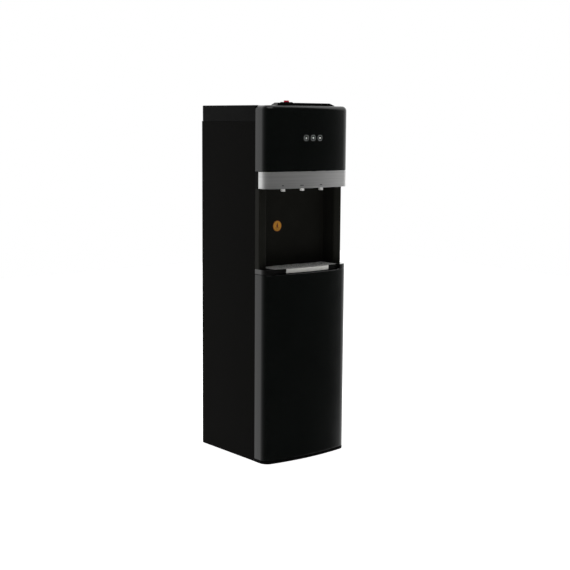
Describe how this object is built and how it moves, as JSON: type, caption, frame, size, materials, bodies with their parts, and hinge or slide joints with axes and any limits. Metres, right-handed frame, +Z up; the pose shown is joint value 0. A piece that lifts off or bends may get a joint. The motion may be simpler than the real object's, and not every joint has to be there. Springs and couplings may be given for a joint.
{
  "type": "water dispenser",
  "caption": "Tall free-standing water dispenser with a bottle cupboard behind a bowed door, an alcove with spouts and a drip tray, and press keys on top.",
  "frame": {"origin": "on the floor, under the middle of the overall box", "axes": "+Z up, -Y out of the bowed front, +X to the right of a person facing the front"},
  "size_m": [0.313, 0.33, 1.0558],
  "materials": {
    "black_steel": "satin black paint",
    "back_steel": "matt black paint",
    "zinc_steel": "zinc plated",
    "gloss_front": "glossy black",
    "black_plastic": "fine-grained black",
    "alcove_plastic": "semi-gloss black",
    "silver_band": "brushed silver",
    "grille_steel": "stainless",
    "strip_metal": "satin silver",
    "spout_plastic": "light grey",
    "lens_clear": "smoked clear",
    "red_plastic": "red",
    "green_plastic": "green",
    "grey_plastic": "dark grey",
    "white_plastic": "white",
    "valve_plastic": "natural",
    "silicone": "translucent silicone",
    "rubber_black": "matt",
    "stainless_tank": "stainless",
    "foam": "insulating foam",
    "copper": "copper",
    "board": "green board",
    "magnet": "dark",
    "cast_black": "black enamel"
  },
  "bodies": {
    "cabinet": {"base_pan": "black_plastic", "feet": "rubber_black", "side_panel_left": "black_steel", "side_panel_right": "black_steel", "rear_panel_lower": "back_steel", "rear_panel_upper": "back_steel", "top_cover": "black_plastic", "mid_shelf": "zinc_steel", "tank_shelf": "zinc_steel", "screws": "zinc_steel", "upper_front_panel": "gloss_front", "indicator_lenses": "lens_clear", "indicator_board": "board", "silver_band": "silver_band", "spout_housing": "black_plastic", "alcove_housing": "alcove_plastic", "ledge_frame": "alcove_plastic", "hinge_pins": "zinc_steel", "key_carrier": "grey_plastic", "key_axle": "zinc_steel", "valve_hot": "valve_plastic", "valve_room": "valve_plastic", "valve_cold": "valve_plastic", "spouts": "spout_plastic", "probe_cap": "white_plastic", "probe_tube": "white_plastic", "probe_clip": "grey_plastic", "probe_hose": "silicone", "pump": "grey_plastic", "water_hoses": "silicone", "cold_tank": "stainless_tank", "cold_tank_lid": "white_plastic", "cold_tank_foam": "foam", "evaporator_coil": "copper", "hot_tank": "stainless_tank", "hot_tank_jacket": "foam", "heating_element": "stainless_tank", "drain_pipe": "silicone", "compressor": "cast_black", "compressor_mounts": "rubber_black", "condenser": "cast_black", "refrigerant_lines": "copper", "control_box": "white_plastic", "rear_fittings": "black_plastic"},
    "door": {"door_skin": "gloss_front", "door_liner": "grey_plastic", "door_magnet": "magnet"},
    "drip_tray": {"drip_tray": "alcove_plastic", "tray_strip": "strip_metal"},
    "drip_grille": {"drip_grille": "grille_steel"},
    "key_hot": {"key_hot": "gloss_front"},
    "child_lock": {"child_lock": "red_plastic"},
    "key_room": {"key_room": "gloss_front"},
    "key_cold": {"key_cold": "gloss_front"},
    "push_rod_hot": {"push_rod_hot": "white_plastic"},
    "push_rod_room": {"push_rod_room": "white_plastic"},
    "push_rod_cold": {"push_rod_cold": "white_plastic"},
    "heat_switch": {"heat_switch": "red_plastic"},
    "cool_switch": {"cool_switch": "green_plastic"},
    "drain_cap": {"drain_cap": "red_plastic"}
  },
  "joints": [
    {"name": "door_hinge", "type": "hinge", "parent": "cabinet", "child": "door", "pos_m": [0.1485, -0.1082, 0.2842], "axis": [0, 0, 1], "range_deg": [0, 95]},
    {"name": "tray_slide", "type": "slide", "parent": "cabinet", "child": "drip_tray", "axis": [0, -1, 0], "range_m": [0, 0.1]},
    {"name": "grille_lift", "type": "slide", "parent": "drip_tray", "child": "drip_grille", "axis": [0, 0, 1], "range_m": [0, 0.04]},
    {"name": "key_hot_press", "type": "hinge", "parent": "cabinet", "child": "key_hot", "pos_m": [-0.072, -0.106, 1.034], "axis": [1, 0, 0], "range_deg": [0, 6], "stiffness_Nm_per_rad": 1, "springref_deg": -3.44},
    {"name": "key_room_press", "type": "hinge", "parent": "cabinet", "child": "key_room", "pos_m": [0, -0.106, 1.034], "axis": [1, 0, 0], "range_deg": [0, 6], "stiffness_Nm_per_rad": 1, "springref_deg": -3.44},
    {"name": "key_cold_press", "type": "hinge", "parent": "cabinet", "child": "key_cold", "pos_m": [0.072, -0.106, 1.034], "axis": [1, 0, 0], "range_deg": [0, 6], "stiffness_Nm_per_rad": 1, "springref_deg": -3.44},
    {"name": "push_rod_hot_travel", "type": "slide", "parent": "cabinet", "child": "push_rod_hot", "axis": [0, 0, -1], "range_m": [0, 0.002], "stiffness_N_per_m": 10, "springref_m": -0.005},
    {"name": "push_rod_room_travel", "type": "slide", "parent": "cabinet", "child": "push_rod_room", "axis": [0, 0, -1], "range_m": [0, 0.002], "stiffness_N_per_m": 10, "springref_m": -0.005},
    {"name": "push_rod_cold_travel", "type": "slide", "parent": "cabinet", "child": "push_rod_cold", "axis": [0, 0, -1], "range_m": [0, 0.002], "stiffness_N_per_m": 10, "springref_m": -0.005},
    {"name": "child_lock_slide", "type": "slide", "parent": "key_hot", "child": "child_lock", "axis": [0, 1, 0], "range_m": [0, 0.0045], "stiffness_N_per_m": 200, "springref_m": -0.002},
    {"name": "heat_switch_rock", "type": "hinge", "parent": "cabinet", "child": "heat_switch", "pos_m": [-0.022, 0.14, 0.9634], "axis": [1, 0, 0], "range_deg": [0, 16]},
    {"name": "cool_switch_rock", "type": "hinge", "parent": "cabinet", "child": "cool_switch", "pos_m": [0.022, 0.14, 0.9634], "axis": [1, 0, 0], "range_deg": [0, 16]},
    {"name": "drain_cap_pull", "type": "slide", "parent": "cabinet", "child": "drain_cap", "axis": [0, 1, 0], "range_m": [0, 0.02]}
  ],
  "couplings": [
    {"joint": "push_rod_hot_travel", "follows": "key_hot_press", "m_per_rad": 0.015},
    {"joint": "push_rod_room_travel", "follows": "key_room_press", "m_per_rad": 0.015},
    {"joint": "push_rod_cold_travel", "follows": "key_cold_press", "m_per_rad": 0.015}
  ]
}
